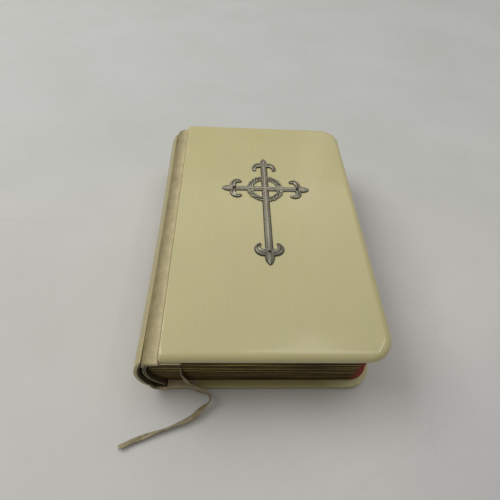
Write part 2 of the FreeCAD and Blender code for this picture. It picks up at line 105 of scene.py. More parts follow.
class Shader:
    """A node material about one Principled BSDF, with short ways to add nodes to it."""

    def __init__(self, name, roughness, **sockets):
        self.material = bpy.data.materials.new(name)
        self.material.use_nodes = True
        self.tree = self.material.node_tree
        self.bsdf = self.tree.nodes["Principled BSDF"]
        self.bsdf.inputs["Roughness"].default_value = roughness
        for socket, value in sockets.items():
            self.bsdf.inputs[socket.replace("_", " ")].default_value = value
        self.place = self.tree.nodes.new("ShaderNodeTexCoord").outputs["Object"]

    def node(self, kind, **settings):
        made = self.tree.nodes.new(kind)
        for key, value in settings.items():
            setattr(made, key, value)
        return made

    def link(self, source, target):
        self.tree.links.new(source, target)

    def stretched(self, scale, turn=(0, 0, 0)):
        mapping = self.node("ShaderNodeMapping")
        mapping.inputs["Scale"].default_value = scale
        mapping.inputs["Rotation"].default_value = turn
        self.link(self.place, mapping.inputs["Vector"])
        return mapping.outputs["Vector"]

    def noise(self, scale, detail=3.0, rough=0.5, stretch=(1, 1, 1)):
        made = self.node("ShaderNodeTexNoise")
        made.inputs["Scale"].default_value = scale
        made.inputs["Detail"].default_value = detail
        made.inputs["Roughness"].default_value = rough
        self.link(self.stretched(stretch), made.inputs["Vector"])
        return made.outputs["Fac"]

    def ramp(self, source, *stops):
        """Colours or grey levels at positions along the source's range."""
        made = self.node("ShaderNodeValToRGB")
        elements = made.color_ramp.elements
        while len(elements) < len(stops):
            elements.new(0.5)
        for element, (position, colour) in zip(elements, stops):
            element.position = position
            element.color = (*colour, 1) if isinstance(colour, tuple) else (colour, colour, colour, 1)
        self.link(source, made.inputs["Fac"])
        return made.outputs["Color"]

    def mix(self, factor, first, second, blend="MIX"):
        made = self.node("ShaderNodeMix", data_type="RGBA", blend_type=blend)
        for socket, value in ((made.inputs["Factor"], factor), (made.inputs["A"], first),
                              (made.inputs["B"], second)):
            if hasattr(value, "links"):
                self.link(value, socket)
            elif isinstance(value, tuple):
                socket.default_value = (*value, 1)
            else:
                socket.default_value = value
        return made.outputs["Result"]

    def along(self, axis, start, end, low=0.0):
        """A value that runs from low to 1 between two places along an axis, in metres."""
        place = self.node("ShaderNodeSeparateXYZ")
        self.link(self.place, place.inputs["Vector"])
        made = self.node("ShaderNodeMapRange")
        for socket, value in (("From Min", start), ("From Max", end), ("To Min", low)):
            made.inputs[socket].default_value = value
        self.link(place.outputs[axis], made.inputs["Value"])
        return made.outputs["Result"]

    def along_book(self, axis, start, end, low=0.0):
        """The same between two places in book millimetres."""
        number = "XYZ".index(axis)
        return self.along(axis, at(start, start, start)[number], at(end, end, end)[number], low)

    def maths(self, operation, first, second):
        made = self.node("ShaderNodeMath", operation=operation)
        for socket, value in zip(made.inputs, (first, second)):
            if hasattr(value, "links"):
                self.link(value, socket)
            else:
                socket.default_value = value
        return made.outputs["Value"]

    def colour(self, source):
        self.link(source, self.bsdf.inputs["Base Color"])

    def roughness(self, source, low, high):
        spread = self.node("ShaderNodeMapRange")
        spread.inputs["To Min"].default_value = low
        spread.inputs["To Max"].default_value = high
        self.link(source, spread.inputs["Value"])
        self.link(spread.outputs["Result"], self.bsdf.inputs["Roughness"])

    def bump(self, source, depth, strength):
        made = self.node("ShaderNodeBump")
        made.inputs["Distance"].default_value = depth
        made.inputs["Strength"].default_value = strength
        self.link(source, made.inputs["Height"])
        self.link(made.outputs["Normal"], self.bsdf.inputs["Normal"])


def shade(tone, *colour):
    """A colour scaled by a tone for each of red, green and blue."""
    return tuple(value * scale for value, scale in zip(colour, tone))


def celluloid_material(name, tone, gloss=1.0, painted_tail_shade=False, painted_back_shade=False):
    """Polished cream celluloid with the fine lengthwise striping of sawn ivory.

    Painted tail shade makes it a little darker towards the tail and the fore-edge, where less light falls.
    Painted back shade makes it dark in the tail square, in the front board's shadow, and along the lower rim
    near the ground.
    """
    shader = Shader(name, roughness=0.2, IOR=1.5, Coat_Weight=0.25 * gloss, Coat_Roughness=0.05,
                    Subsurface_Weight=0.10, Subsurface_Radius=(0.004, 0.003, 0.0012), Subsurface_Scale=0.4)
    stripe = shader.node("ShaderNodeTexWave", bands_direction="X")
    stripe.inputs["Scale"].default_value = 300.0
    stripe.inputs["Distortion"].default_value = 1.6
    stripe.inputs["Detail"].default_value = 1.0
    stripe.inputs["Detail Scale"].default_value = 0.25
    shader.link(shader.stretched((1.0, 0.05, 0.2)), stripe.inputs["Vector"])
    drift = shader.noise(1.0, detail=2.0, rough=0.5, stretch=(160, 12, 60))
    fine = shader.noise(1.0, detail=3.0, rough=0.6, stretch=(2600, 60, 900))
    cloud = shader.noise(38.0, detail=2.0)
    stripes = shader.ramp(stripe.outputs["Fac"], (0.1, shade(tone, 0.596, 0.533, 0.283)),
                          (0.9, shade(tone, 0.624, 0.558, 0.308)))
    tints = shader.ramp(drift, (0.35, shade(tone, 0.59, 0.560, 0.288)),
                        (0.65, shade(tone, 0.622, 0.543, 0.306)))
    toned = shader.mix(0.45, stripes, tints)
    toned = shader.mix(0.35, toned, shader.ramp(fine, (0.35, 0.94), (0.65, 1.03)), "MULTIPLY")
    clouded = shader.mix(0.6, toned, shader.ramp(cloud, (0.3, 0.96), (0.7, 1.03)), "MULTIPLY")
    if painted_tail_shade:
        # Painted shade: darker towards the tail and towards the fore-edge.
        tail_shade = shader.maths("MULTIPLY", shader.along_book("Y", 72, 10),
                               shader.along_book("X", 0, WIDTH, low=0.62))
        clouded = shader.mix(tail_shade, clouded, (0.83, 0.83, 0.80), "MULTIPLY")
    if painted_back_shade:
        # Painted shade: the tail square under the front board, lighter at the fore-edge corner, then the
        # lower rim near the ground.
        square_shade = shader.maths("MULTIPLY", shader.along_book("X", 62, 52), shader.along_book("Y", 12, 6))
        clouded = shader.mix(square_shade, clouded, (0.70, 0.67, 0.53), "MULTIPLY")
        clouded = shader.mix(shader.along_book("Z", 1.3, 0.3), clouded, (0.42, 0.40, 0.30), "MULTIPLY")
    shader.colour(clouded)
    scuffs = shader.noise(900.0, detail=5.0, rough=0.7)
    shader.roughness(scuffs, 0.12 / gloss, 0.22 / gloss)
    shader.bump(fine, 0.00001, 0.3)
    return shader.material


def leather_material(name, dark, light, mottle=180.0, sheen=0.05):
    """Thin dyed leather: pores, creases and a worn, mottled colour."""
    shader = Shader(name, roughness=0.72, Sheen_Weight=sheen, Specular_IOR_Level=0.25)
    pores = shader.node("ShaderNodeTexVoronoi", feature="F1")
    pores.inputs["Scale"].default_value = 1500.0
    shader.link(shader.place, pores.inputs["Vector"])
    patches = shader.noise(mottle, detail=5.0, rough=0.65)
    creases = shader.noise(1.0, detail=4.0, rough=0.6, stretch=(1700, 160, 1700))
    base = shader.ramp(patches, (0.34, dark), (0.66, light))
    worn = shader.ramp(creases, (0.3, 0.82), (0.6, 1.05))
    shader.colour(shader.mix(0.8, base, worn, "MULTIPLY"))
    shader.roughness(patches, 0.6, 0.85)
    height = shader.maths("ADD", pores.outputs["Distance"], creases)
    shader.bump(height, 0.00006, 0.5)
    return shader.material


def joint_leather_material():
    """The joint leather: pinkish beige where painted light falls near the board, and olive brown with painted
    shade towards the spine plate, where it curves down.
    """
    shader = Shader("joint_leather", roughness=0.7, Sheen_Weight=0.12)
    # Painted shade on the shoulder that curves down to the spine plate, painted light on the flat part near
    # the board.
    lit_near_board = shader.along_book("X", -4.0, -0.8)
    patches = shader.noise(260.0, detail=5.0, rough=0.7)
    grain = shader.noise(1.0, detail=4.0, rough=0.6, stretch=(1900, 240, 1900))
    dark = shader.ramp(patches, (0.35, (0.200, 0.162, 0.068)), (0.65, (0.290, 0.240, 0.112)))
    light = shader.ramp(patches, (0.35, (0.465, 0.400, 0.230)), (0.65, (0.59, 0.505, 0.305)))
    base = shader.mix(lit_near_board, dark, light)
    shader.colour(shader.mix(0.7, base, shader.ramp(grain, (0.3, 0.84), (0.62, 1.06)), "MULTIPLY"))
    shader.roughness(patches, 0.6, 0.85)
    shader.bump(grain, 0.00008, 0.5)
    return shader.material


def paper_material(name, tone, aged):
    """Thin book paper: a faint fibrous tooth and patches toned by age."""
    shader = Shader(name, roughness=0.85)
    fibre = shader.noise(2600.0, detail=4.0, rough=0.6)
    foxing = shader.noise(95.0, detail=6.0, rough=0.75)
    base = shader.ramp(foxing, (0.42, tone), (0.72, aged))
    shader.colour(shader.mix(0.35, base, shader.ramp(fibre, (0.3, 0.86), (0.7, 1.05)), "MULTIPLY"))
    shader.roughness(fibre, 0.78, 0.92)
    shader.bump(fibre, 0.00002, 0.4)
    return shader.material


def gilt_material():
    """Leaf edges: dulled gilt, soiled in bands, worn down to a red ground at the fore-edge."""
    shader = Shader("gilt_edges", roughness=0.5, Metallic=0.3, Specular_IOR_Level=0.15)
    leaves = shader.noise(1.0, detail=4.0, rough=0.7, stretch=(30, 30, 3600))
    bands = shader.noise(1.0, detail=2.0, rough=0.6, stretch=(24, 24, 1150))
    rubbed = shader.noise(210.0, detail=6.0, rough=0.75)
    gold = shader.ramp(leaves, (0.36, (0.046, 0.028, 0.010)), (0.5, (0.200, 0.148, 0.050)),
                       (0.64, (0.52, 0.42, 0.17)))
    speckle = shader.noise(1900.0, detail=3.0, rough=0.7)
    gold = shader.mix(0.8, gold, shader.ramp(speckle, (0.35, 0.6), (0.65, 1.35)), "MULTIPLY")
    soiled = shader.mix(0.85, gold, shader.ramp(bands, (0.42, 0.18), (0.58, 1.25)), "MULTIPLY")
    height = shader.along_book("Z", 5.0, 13.5)
    darker_below = shader.ramp(height, (0.0, (0.33, 0.26, 0.22)), (1.0, (1.05, 1.05, 0.97)))
    soiled = shader.mix(1.0, soiled, darker_below, "MULTIPLY")
    red = shader.ramp(leaves, (0.3, (0.16, 0.018, 0.014)), (0.7, (0.40, 0.065, 0.045)))
    red_patches = shader.ramp(rubbed, (0.54, 0.0), (0.68, 0.22))
    bared = shader.maths("MAXIMUM", shader.along_book("X", 61.0, 63.6), red_patches)
    shader.colour(shader.mix(shader.maths("MULTIPLY", bared, 0.93), soiled, red))
    shader.roughness(rubbed, 0.38, 0.68)
    shader.bump(leaves, 0.00005, 0.5)
    return shader.material


def cloth_material(name, dark, light, thread_pitch, roughness=0.75, sheen=0.3):
    """A plain weave of two sets of threads."""
    shader = Shader(name, roughness=roughness, Sheen_Weight=sheen)
    waves = []
    for direction in ("X", "Y"):
        wave = shader.node("ShaderNodeTexWave", bands_direction=direction)
        wave.inputs["Scale"].default_value = WAVE_PITCH / thread_pitch
        wave.inputs["Distortion"].default_value = 1.2
        shader.link(shader.place, wave.inputs["Vector"])
        waves.append(wave.outputs["Fac"])
    weave = shader.maths("MULTIPLY", waves[0], waves[1])
    stains = shader.noise(420.0, detail=4.0, rough=0.7)
    base = shader.ramp(stains, (0.35, dark), (0.65, light))
    shader.colour(shader.mix(0.45, base, shader.ramp(weave, (0.0, 0.7), (0.8, 1.1)), "MULTIPLY"))
    shader.bump(weave, 0.00004, 0.6)
    return shader.material


def silver_material(name, dark, light, low, high, *rubbing_and_foot_shade):
    """Tarnished silver plate: black in the hollows, and at its foot partly tarnish and partly painted contact
    shade, brighter on the worn tops.

    The rubbing of the tops and the painted shade at the foot are given at heights above the cover, in
    millimetres.
    """
    shader = Shader(name, roughness=0.45, Metallic=0.7)
    height = shader.along("Z", FRONT_HIGH.z, FRONT_HIGH.z + MM)
    pointiness = shader.node("ShaderNodeNewGeometry").outputs["Pointiness"]
    hollows = shader.ramp(pointiness, (0.40, 0.0), (0.50, 1.0))
    # The lowest height stops paint the foot black, partly tarnish and partly painted contact shade.
    worn = shader.maths("MULTIPLY", hollows, shader.ramp(height, *rubbing_and_foot_shade))
    tarnish = shader.noise(700.0, detail=5.0, rough=0.7)
    stain = shader.ramp(tarnish, (0.35, dark), (0.65, light))
    lower_end = shader.along_book("Y", CROSS.y - 33.5, CROSS.y - 24.0, low=0.52)
    stain = shader.mix(1.0, stain, lower_end, "MULTIPLY")
    shader.colour(shader.mix(worn, tuple(value * 0.2 for value in dark), stain))
    shader.roughness(tarnish, low, high)
    shader.bump(tarnish, 0.00003, 0.4)
    return shader.material


def floor_material():
    """Pale grey paper with faint marks, a painted shadow in front of the book and to its right, and a faintly
    cooler painted light colour towards the back.
    """
    shader = Shader("floor", roughness=0.8)
    marks = shader.noise(16.0, detail=6.0, rough=0.6)
    tooth = shader.noise(700.0, detail=3.0)
    base = shader.ramp(marks, (0.35, (0.60, 0.595, 0.575)), (0.65, (0.64, 0.635, 0.62)))
    base = shader.mix(0.3, base, shader.ramp(tooth, (0.3, 0.95), (0.7, 1.02)), "MULTIPLY")
    lines = shader.node("ShaderNodeTexVoronoi", feature="DISTANCE_TO_EDGE")
    lines.inputs["Scale"].default_value = 15.0
    shader.link(shader.stretched((1.0, 0.45, 1.0), (0, 0, 0.9)), lines.inputs["Vector"])
    scratch = shader.ramp(lines.outputs["Distance"], (0.0, 1.0), (0.0045, 0.0))
    scratched = shader.ramp(shader.noise(9.0, detail=3.0), (0.53, 0.0), (0.62, 0.22))
    scratch = shader.mix(1.0, scratch, scratched, "MULTIPLY")
    # Painted shadow in front of the book and to its right.
    painted_shadow = shader.maths("MULTIPLY", shader.along("X", 0.025, 0.085), shader.along("Y", -0.030, -0.085))
    base = shader.mix(painted_shadow, base, (0.865, 0.855, 0.91), "MULTIPLY")
    # Painted light colour: a faint cooler tint towards the back.
    base = shader.mix(shader.along("Y", 0.0, 0.12), base, (0.97, 1.0, 1.01), "MULTIPLY")
    shader.colour(shader.mix(scratch, base, (0.40, 0.385, 0.37)))
    shader.bump(tooth, 0.00005, 0.3)
    return shader.material


CELLULOID = celluloid_material("celluloid", (1.0, 1.0, 1.0), painted_tail_shade=True)
BACK_CELLULOID = celluloid_material("celluloid_back", (0.92, 0.92, 0.88), gloss=0.35, painted_back_shade=True)
SPINE_CELLULOID = celluloid_material("celluloid_spine", (0.70, 0.67, 0.58), gloss=0.45)
JOINT_LEATHER = joint_leather_material()
FLAP_LEATHER = leather_material("flap_leather", (0.42, 0.335, 0.215), (0.53, 0.43, 0.29))
SUEDE = leather_material("spine_suede", (0.050, 0.034, 0.014), (0.090, 0.063, 0.028), sheen=0.0)
LINER = leather_material("liner_leather", (0.20, 0.185, 0.125), (0.31, 0.29, 0.21), mottle=320.0)
PAPER = paper_material("page_paper", (0.62, 0.56, 0.42), (0.50, 0.41, 0.27))
ENDPAPER = paper_material("endpaper", (0.64, 0.59, 0.46), (0.55, 0.47, 0.33))
GILT = gilt_material()
TAPE = cloth_material("linen_tape", (0.42, 0.37, 0.26), (0.55, 0.50, 0.38), 0.00035)
THREAD = cloth_material("linen_thread", (0.48, 0.43, 0.32), (0.60, 0.56, 0.44), 0.0002)
SILK = cloth_material("silk_ribbon", (0.185, 0.150, 0.078), (0.42, 0.35, 0.20), 0.00016, roughness=0.5,
                      sheen=0.2)
SILVER = silver_material("silver", (0.38, 0.355, 0.275), (0.54, 0.51, 0.41), 0.32, 0.48,
                         (0.16, 0.0), (0.42, 0.50), (0.64, 0.60), (0.80, 1.0))
RING_SILVER = silver_material("ring_silver", (0.34, 0.325, 0.245), (0.46, 0.44, 0.34), 0.42, 0.6,
                              (0.10, 0.05), (0.24, 0.30), (0.50, 0.85), (0.70, 1.0))
PIN_STEEL = silver_material("pin_steel", (0.035, 0.028, 0.018), (0.075, 0.062, 0.042), 0.4, 0.6,
                            (0.16, 0.0), (0.80, 1.0))

# ---------------------------------------- mesh helpers


def make_object(name, verts, faces, materials, smooth=True):
    """A mesh object from points in metres, in the row frame."""
    mesh = bpy.data.meshes.new(name)
    mesh.from_pydata([tuple(v) for v in verts], [], faces)
    for material in materials:
        mesh.materials.append(material)
    mesh.update()
    obj = bpy.data.objects.new(name, mesh)
    bpy.context.scene.collection.objects.link(obj)
    bm = bmesh.new()
    bm.from_mesh(mesh)
    bmesh.ops.recalc_face_normals(bm, faces=bm.faces)
    bm.to_mesh(mesh)
    bm.free()
    for polygon in mesh.polygons:
        polygon.use_smooth = smooth
    return obj


def sharpen(obj, degrees=35):
    """Keeps edges over an angle crisp, and the rest smooth."""
    limit = math.radians(degrees)
    mesh = obj.data
    bm = bmesh.new()
    bm.from_mesh(mesh)
    for edge in bm.edges:
        edge.smooth = len(edge.link_faces) == 2 and edge.calc_face_angle(0) < limit
    bm.to_mesh(mesh)
    bm.free()
    return obj


def bevel(obj, width, segments):
    """Softens the crisp edges."""
    modifier = obj.modifiers.new("edges", "BEVEL")
    modifier.width = width * MM
    modifier.segments = segments
    modifier.limit_method = "ANGLE"
    modifier.angle_limit = math.radians(40)


def page_ring(x0, x1, y0, y1, corner, spine_corner, steps=10, tail_corner=None):
    """A page outline as a ring of (x, y), anticlockwise, with round fore-edge and tight spine corners.

    The tail corner is the one at the spine and the tail, where it differs from the one at the head.
    """
    ring = []
    corners = ((x1, y0, -90, corner, -1, 1), (x1, y1, 0, corner, -1, -1),
               (x0, y1, 90, spine_corner, 1, -1), (x0, y0, 180, tail_corner or spine_corner, 1, 1))
    for x, y, start, radius, side_x, side_y in corners:
        centre = (x + side_x * radius, y + side_y * radius)
        for step in range(steps + 1):
            angle = math.radians(start + 90 * step / steps)
            ring.append((centre[0] + radius * math.cos(angle), centre[1] + radius * math.sin(angle)))
    return ring


def ring_faces(base, rings, count, closed=False):
    """Faces between neighbouring rings of count points each, numbered from base."""
    faces = []
    for ring in range(rings if closed else rings - 1):
        a, b = base + ring * count, base + (ring + 1) % rings * count
        for i in range(count):
            j = (i + 1) % count
            faces.append((a + i, a + j, b + j, b + i))
    return faces


def skin_faces(base, rings, count):
    """The same, with a cap on the first ring and one on the last."""
    last = base + (rings - 1) * count
    caps = [tuple(range(base + count - 1, base - 1, -1)), tuple(range(last, last + count))]
    return ring_faces(base, rings, count) + caps


def loft(name, rings, materials, cap_material=0):
    """Joins rings of (x, y, z), in book millimetres, into a closed skin."""
    verts = [at(*point) for ring in rings for point in ring]
    faces = skin_faces(0, len(rings), len(rings[0]))
    obj = make_object(name, verts, faces, materials)
    for cap in (len(faces) - 2, len(faces) - 1):
        obj.data.polygons[cap].material_index = cap_material
    return obj


def sweep(name, profile, y0, y1, materials, steps):
    """Runs a profile of (x, z) along the book's length."""
    rings = [[(x, y0 + (y1 - y0) * k / steps, z) for x, z in profile] for k in range(steps + 1)]
    return loft(name, rings, materials)


def join(obj, other):
    """Adds the other object's mesh to the first's, and removes the other."""
    bm = bmesh.new()
    bm.from_mesh(obj.data)
    bm.from_mesh(other.data)
    bm.to_mesh(obj.data)
    bm.free()
    bpy.data.objects.remove(other)


def ride_slot(obj, body, node):
    """Puts a piece on a body, in the place of a CAD node, which it hides."""
    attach(obj, body)
    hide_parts(node)


# ---------------------------------------- ribbon

RIBBON_WIDTH = 2.2
RIBBON_ROUTE = [
    (5.2, 2.6, 15.6), (5.3, 1.9, 15.0), (5.35, 1.6, 13.2), (5.6, 1.7, 9.6), (6.1, 1.7, 6.2), (7.0, 1.2, 4.2),
    (8.6, 0.3, 3.9), (10.9, -0.7, 3.6), (13.0, -1.3, 3.3), (14.5, -2.4, 3.0), (14.4, -4.2, 2.7),
    (13.0, -5.3, 2.5), (10.8, -7.2, 2.3), (8.3, -8.9, 1.9), (5.2, -10.3, 1.4), (1.6, -11.6, 1.0),
    (-2.4, -12.7, 0.9), (-6.2, -14.3, 0.8), (-9.8, -15.3, 0.7), (-13.0, -17.0, 0.7),
]
# The ribbon's turn about its own line, in degrees, at fractions of its length.
RIBBON_TURNS = [
    (0.0, 84), (0.10, 87), (0.14, 92), (0.17, 89), (0.20, 80), (0.24, 71), (0.29, 67), (0.33, 75), (0.37, 80),
    (0.40, 72), (0.43, 61), (0.445, 54), (0.47, 36), (0.50, 30), (0.53, 33), (0.56, 39), (0.60, 46),
    (0.63, 51), (0.67, 58), (0.71, 61), (0.76, 60), (0.80, 51), (0.84, 39), (0.90, 38), (1.0, 42),
]


def spline_points(points):
    """The smooth line that has these places as its control points."""
    curve = bpy.data.curves.new("route", "CURVE")
    curve.dimensions = "3D"
    curve.resolution_u = 10
    spline = curve.splines.new("NURBS")
    spline.points.add(len(points) - 1)
    for point, place in zip(spline.points, points):
        point.co = (*at(*place), 1)
    spline.order_u = 3
    spline.use_endpoint_u = True
    holder = bpy.data.objects.new("route", curve)
    mesh = bpy.data.meshes.new_from_object(holder)
    line = [v.co.copy() for v in mesh.vertices]
    bpy.data.objects.remove(holder)
    return line


def ribbon_turn(fraction):
    """The turn at a fraction of the length, eased between the given ones."""
    for (start, before), (end, after) in zip(RIBBON_TURNS, RIBBON_TURNS[1:]):
        if fraction <= end:
            share = (fraction - start) / (end - start)
            share = share * share * (3 - 2 * share)
            return before + (after - before) * share
    return RIBBON_TURNS[-1][1]


def make_ribbon_tail():
    """Limp silk ribbon: down the tail of the leaves, over the back cover's edge and along the ground."""
    line = spline_points(RIBBON_ROUTE)
    lengths = [0.0]
    for a, b in zip(line, line[1:]):
        lengths.append(lengths[-1] + (b - a).length)
    total = lengths[-1]
    half = RIBBON_WIDTH / 2 * MM
    thick = 0.07 * MM
    across = 6
    # Near the leaves the ribbon's flat side is steered by the X axis, and further on by the ground.
    steered = 0.24
    curl_depth, curl_rate = 0.16, 31.0
    rings = []
    for i, point in enumerate(line):
        ahead = line[min(i + 1, len(line) - 1)] - line[max(i - 1, 0)]
        forward = ahead.normalized()
        fraction = lengths[i] / total
        flat = Vector((0, 0, 1)).cross(forward)
        if flat.length < 0.05:
            flat = Vector((1, 0, 0))
        flat.normalize()
        if fraction < steered:
            share = fraction / steered
            flat = (flat * share + Vector((1, 0, 0)) * (1 - share)).normalized()
        flat = (flat - forward * flat.dot(forward)).normalized()
        normal = forward.cross(flat).normalized()
        angle = math.radians(ribbon_turn(fraction))
        side = flat * math.cos(angle) + normal * math.sin(angle)
        face = forward.cross(side).normalized()
        curl = curl_depth * MM * math.sin(fraction * curl_rate)
        ring = []
        for layer in (1, -1):
            for k in range(across + 1) if layer > 0 else range(across, -1, -1):
                u = 2 * k / across - 1
                cup = curl * (u * u - 0.5)
                ring.append(point + side * (u * half) + face * (cup + layer * thick))
        rings.append(ring)
    lowest = 0.00006
    verts = []
    for ring in rings:
        lift = max(0.0, lowest - min(v.z for v in ring))
        verts.extend(v + Vector((0, 0, lift)) for v in ring)
    faces = skin_faces(0, len(rings), len(rings[0]))
    ribbon = sharpen(make_object("ribbon_end", verts, faces, [SILK]), 60)
    ride_slot(ribbon, "text_block", "ribbon_tail")


make_ribbon_tail()

# ---------------------------------------- covers

CORNER = 8.5
LEAF_CORNER = 6.3


def make_board(name, body, material, on_top, tail, head, fore):
    """A moulded board: crowned outer face, rounded rim, crisp and straight along the spine."""
    outer, inner = (THICK, THICK - BOARD) if on_top else (0.0, BOARD)
    out = 1 if on_top else -1
    rim, depth, lip = 3.3, BOARD - 0.35, 0.30
    fullness = 0.8
    tail_easing = 0.9 if on_top else 0.3

    def ring(inset, spine_inset, level):
        shape = page_ring(spine_inset, fore - inset, tail + inset, head - inset, max(CORNER - inset, 0.6),
                          0.35 + 0.3 * inset, 12, 0.35 + tail_easing * inset)
        return [(x, y, level) for x, y in shape]

    rings = [ring(0.35, 0.12, inner), ring(0.12, 0.04, inner + out * 0.10), ring(0.0, 0.0, inner + out * lip)]
    steps = 14
    for k in range(1, steps + 1):
        angle = math.pi / 2 * k / steps
        inset = rim * (1 - math.cos(angle) ** fullness)
        rise = depth * math.sin(angle) ** fullness
        rings.append(ring(inset, 0.30 * inset / rim, inner + out * (lip + rise)))
    rings.append(ring(6.5, 0.9, outer - out * 0.045))
    rings.append(ring(10.0, 5.0, outer))
    ride_slot(loft(f"{name}_shell", rings, [material]), body, name)


make_board("front_board", "front_cover", CELLULOID, True, -0.1, HEIGHT + 0.3, WIDTH + 0.35)
make_board("back_board", "back_cover", BACK_CELLULOID, False, 0.65, HEIGHT - 0.3, WIDTH + 0.1)


def make_sheet(node, body, corner, wave=0.0, short=0.0):
    """An endleaf in its CAD place, cut short at the tail, with a slight wave if it is free."""
    low, high = book_box(node)
    ring = page_ring(low.x, high.x, low.y + short, high.y, corner, 0.2, 8)
    bm = bmesh.new()
    layers = []
    for z in (low.z, high.z):
        verts = [bm.verts.new(at(x, y, z)) for x, y in ring]
        layers.append(verts)
        bm.faces.new(verts if z == high.z else list(reversed(verts)))
    for i in range(len(ring)):
        j = (i + 1) % len(ring)
        bm.faces.new((layers[0][i], layers[0][j], layers[1][j], layers[1][i]))
    for axis, cuts, start, end in (((1, 0, 0), 26, low.x, high.x), ((0, 1, 0), 40, low.y, high.y)):
        for k in range(1, cuts):
            place = start + (end - start) * k / cuts
            bmesh.ops.bisect_plane(bm, geom=list(bm.verts) + list(bm.edges) + list(bm.faces),
                                   plane_co=at(place, place, 0), plane_no=axis)
    for vert in bm.verts:
        vert.co.z += wave * MM * noise.noise(vert.co * 70)
    bmesh.ops.recalc_face_normals(bm, faces=bm.faces)
    for face in bm.faces:
        face.material_index = 1 if abs(face.normal.z) < 0.5 else 0
    mesh = bpy.data.meshes.new(f"{node}_sheet")
    bm.to_mesh(mesh)
    bm.free()
    mesh.materials.append(ENDPAPER)
    mesh.materials.append(GILT)
    for polygon in mesh.polygons:
        polygon.use_smooth = True
    sheet = bpy.data.objects.new(mesh.name, mesh)
    bpy.context.scene.collection.objects.link(sheet)
    ride_slot(sharpen(sheet, 60), body, node)


make_sheet("front_lining", "front_cover", 6.0)
make_sheet("back_lining", "back_cover", 6.0, short=0.9)
make_sheet("front_flyleaf", "front_flyleaf", LEAF_CORNER, wave=0.06)
make_sheet("back_flyleaf", "back_flyleaf", LEAF_CORNER, wave=0.06, short=0.5)

# ---------------------------------------- text block

BACK_X, BACK_Z = 6.85, 14.5
SECTIONS, LOWER_SECTIONS = 12, 7
LEAVES_PER_SECTION = 8
LEAF_BACK_RADIUS = 11.75
LEAF_GAP = 0.012


def make_section(node, body, chance):
    """A gathering whose leaves show one by one at the trimmed edges, folded round at the back."""
    low, high = book_box(node)
    thick = (high.z - low.z) / LEAVES_PER_SECTION
    sag = chance.uniform(0.02, 0.10)
    middle_level = (low.z + high.z) / 2

    def leaf_ring(spine_edge, inset, level):
        shape = page_ring(spine_edge, high.x - inset, low.y + inset, high.y - inset,
                          LEAF_CORNER - inset / 2, 0.15)
        ring = []
        for x, y in shape:
            edge = min(y - low.y, high.y - y, 3.0) / 3.0
            wave = sag * (1 - edge) * noise.noise(Vector((x * 0.12, y * 0.02, low.z * 3.1)))
            ring.append((x, y, low.z + level + wave))
        return ring

    rings = []
    for leaf in range(LEAVES_PER_SECTION):
        inset = chance.uniform(0.0, 0.11) + (0.18 if leaf in (0, LEAVES_PER_SECTION - 1) else 0.0)
        middle = (leaf + 0.5) / LEAVES_PER_SECTION * 2 - 1
        level = middle_level + middle * (high.z - low.z) / 2
        spine_edge = BACK_X - math.sqrt(LEAF_BACK_RADIUS ** 2 - (level - BACK_Z) ** 2) + 0.30 * middle ** 4
        bottom, top = leaf * thick + LEAF_GAP, (leaf + 1) * thick - LEAF_GAP
        if leaf == 0:
            rings.append(leaf_ring(spine_edge, inset + 0.5, bottom))
        rings.append(leaf_ring(spine_edge, inset, bottom))
        rings.append(leaf_ring(spine_edge, inset, top))
        if leaf == LEAVES_PER_SECTION - 1:
            rings.append(leaf_ring(spine_edge, inset + 0.5, top))
    section = sharpen(loft(f"{node}_leaves", rings, [GILT, PAPER], cap_material=1), 30)
    ride_slot(section, body, node)


leaf_chance = random.Random(7)
for number in range(1, SECTIONS + 1):
    make_section(f"section_{number:02d}", "text_block" if number <= LOWER_SECTIONS else "upper_leaves",
                 leaf_chance)

# ---------------------------------------- spine

SPINE_RADIUS, SPINE_BULGE, SPINE_HALF = 17.7, 8.9, 9.4
PLATE_INSIDE, LINING_INSIDE = SPINE_RADIUS - 1.1, SPINE_RADIUS - 1.6
DRAWN_IN = 0.45


def arc_profile(outer, inner, centre_x, centre_z, start, end, steps=24, thinned=0.0, pared=0.0):
    """A band between two radii about a centre, from angle start to end, in degrees about +Y.

    Its outer side comes in by the thinned amount towards the start, and its inner side comes out by the
    pared amount towards the end.
    """
    there, back = [], []
    for k in range(steps + 1):
        turn = math.radians(start + (end - start) * k / steps)
        near_start, near_end = max(0.0, 1 - 5 * k / steps), max(0.0, 1 - 5 * (steps - k) / steps)
        for side, radius in ((there, outer - thinned * near_start ** 1.5),
                             (back, inner + pared * near_end ** 1.5)):
            side.append((centre_x - radius * math.cos(turn), centre_z + radius * math.sin(turn)))
    return there + back[::-1]


def draw_in(obj, tail, head):
    """Bows a piece of the spine in a little at the middle of its length."""
    for vert in obj.data.vertices:
        along = (vert.co.y - at(0, tail, 0).y) / ((head - tail) * MM)
        vert.co.x += DRAWN_IN * MM * math.sin(math.pi * min(1.0, max(0.0, along)))


